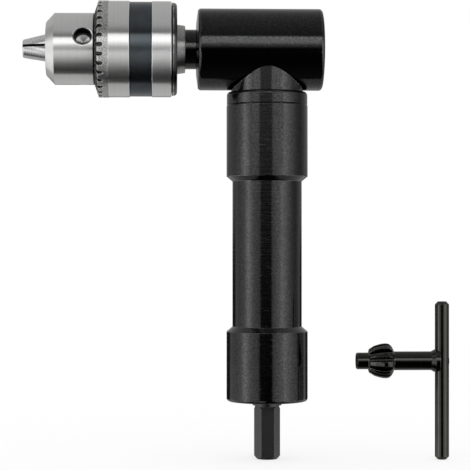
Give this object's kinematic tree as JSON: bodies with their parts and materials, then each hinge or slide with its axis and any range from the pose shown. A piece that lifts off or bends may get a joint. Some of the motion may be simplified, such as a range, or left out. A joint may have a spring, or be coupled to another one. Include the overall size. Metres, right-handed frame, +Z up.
{
  "type": "right angle drill attachment",
  "caption": "Right angle drill attachment with a hex shank, tubular handle, bevel gear head and keyed jaw chuck, beside its T-handled chuck key.",
  "frame": {"origin": "centre of the flat end of the hex shank", "axes": "+Z up the handle from the shank to the head, -X along the chuck towards its jaws, +X towards the chuck key, +Y away from the picture's viewer"},
  "size_m": [0.1507, 0.0342, 0.1623],
  "materials": {
    "black_oxide": "black oxide on turned steel, satin",
    "chuck_steel": "fine turned steel, satin",
    "jaw_steel": "ground hardened steel",
    "shank_steel": "ground steel, lightly oiled",
    "gear_steel": "machined steel",
    "bearing_steel": "ground bearing steel",
    "cage_brass": "brass cage round steel balls",
    "spring_steel": "phosphated spring steel",
    "seal_rubber": "matt rubber"
  },
  "bodies": {
    "housing": {"head_housing": "black_oxide", "head_end_cap": "black_oxide", "lock_ring": "black_oxide", "handle": "black_oxide", "front_bearing_outer_race": "bearing_steel", "rear_bearing_outer_race": "bearing_steel", "neck_bearing_outer_race": "bearing_steel", "lower_bearing_outer_race": "bearing_steel", "front_bearing_circlip": "spring_steel", "neck_bearing_circlip": "spring_steel", "lower_bearing_circlip": "spring_steel", "shank_seal": "seal_rubber"},
    "output": {"output_spindle": "black_oxide", "spindle_spacer": "gear_steel", "bevel_gear": "gear_steel", "gear_pin": "gear_steel", "spindle_circlips": "spring_steel", "front_bearing_inner_race": "bearing_steel", "rear_bearing_inner_race": "bearing_steel", "chuck_body": "chuck_steel", "chuck_screw": "spring_steel"},
    "input": {"bevel_pinion": "gear_steel", "pinion_circlip": "spring_steel", "neck_bearing_inner_race": "bearing_steel", "lower_bearing_inner_race": "bearing_steel", "drive_shaft": "shank_steel", "coupling_pin": "gear_steel", "shaft_circlip": "spring_steel"},
    "front_cage": {"front_bearing_balls": "cage_brass"},
    "rear_cage": {"rear_bearing_balls": "cage_brass"},
    "neck_cage": {"neck_bearing_balls": "cage_brass"},
    "lower_cage": {"lower_bearing_balls": "cage_brass"},
    "sleeve": {"chuck_sleeve": "chuck_steel", "nut_half_upper": "gear_steel", "nut_half_lower": "gear_steel"},
    "jaw_one": {"jaw_1": "jaw_steel"},
    "jaw_two": {"jaw_2": "jaw_steel"},
    "jaw_three": {"jaw_3": "jaw_steel"},
    "key": {"chuck_key": "black_oxide", "key_bar": "black_oxide"}
  },
  "joints": [
    {"name": "output_spin", "type": "hinge", "parent": "housing", "child": "output", "pos_m": [0, 0, 0.1452], "axis": [1, 0, 0], "continuous": true},
    {"name": "input_spin", "type": "hinge", "parent": "housing", "child": "input", "pos_m": [0, 0, 0], "axis": [0, 0, 1], "continuous": true},
    {"name": "front_cage_spin", "type": "hinge", "parent": "housing", "child": "front_cage", "pos_m": [0, 0, 0.1452], "axis": [1, 0, 0], "continuous": true},
    {"name": "rear_cage_spin", "type": "hinge", "parent": "housing", "child": "rear_cage", "pos_m": [0, 0, 0.1452], "axis": [1, 0, 0], "continuous": true},
    {"name": "neck_cage_spin", "type": "hinge", "parent": "housing", "child": "neck_cage", "pos_m": [0, 0, 0], "axis": [0, 0, 1], "continuous": true},
    {"name": "lower_cage_spin", "type": "hinge", "parent": "housing", "child": "lower_cage", "pos_m": [0, 0, 0], "axis": [0, 0, 1], "continuous": true},
    {"name": "sleeve_turn", "type": "hinge", "parent": "output", "child": "sleeve", "pos_m": [0, 0, 0.1452], "axis": [1, 0, 0], "range_deg": [0, 2880]},
    {"name": "jaw_1_slide", "type": "slide", "parent": "output", "child": "jaw_one", "axis": [0.9703, -0.0585, 0.2347], "range_m": [0, 0.0186]},
    {"name": "jaw_2_slide", "type": "slide", "parent": "output", "child": "jaw_two", "axis": [0.9703, 0.2326, -0.0667], "range_m": [0, 0.0186]},
    {"name": "jaw_3_slide", "type": "slide", "parent": "output", "child": "jaw_three", "axis": [0.9703, -0.174, -0.1681], "range_m": [0, 0.0186]},
    {"name": "key_lift", "type": "slide", "parent": "housing", "child": "key", "axis": [0, 0, 1], "range_m": [0, 0.06]}
  ],
  "couplings": [
    {"joint": "input_spin", "follows": "output_spin", "ratio": -1},
    {"joint": "front_cage_spin", "follows": "output_spin", "ratio": 0.40063},
    {"joint": "rear_cage_spin", "follows": "output_spin", "ratio": 0.3675},
    {"joint": "neck_cage_spin", "follows": "output_spin", "ratio": -0.41776},
    {"joint": "lower_cage_spin", "follows": "output_spin", "ratio": -0.40063},
    {"joint": "jaw_1_slide", "follows": "sleeve_turn", "m_per_rad": 0.00037},
    {"joint": "jaw_2_slide", "follows": "sleeve_turn", "m_per_rad": 0.00037},
    {"joint": "jaw_3_slide", "follows": "sleeve_turn", "m_per_rad": 0.00037}
  ]
}
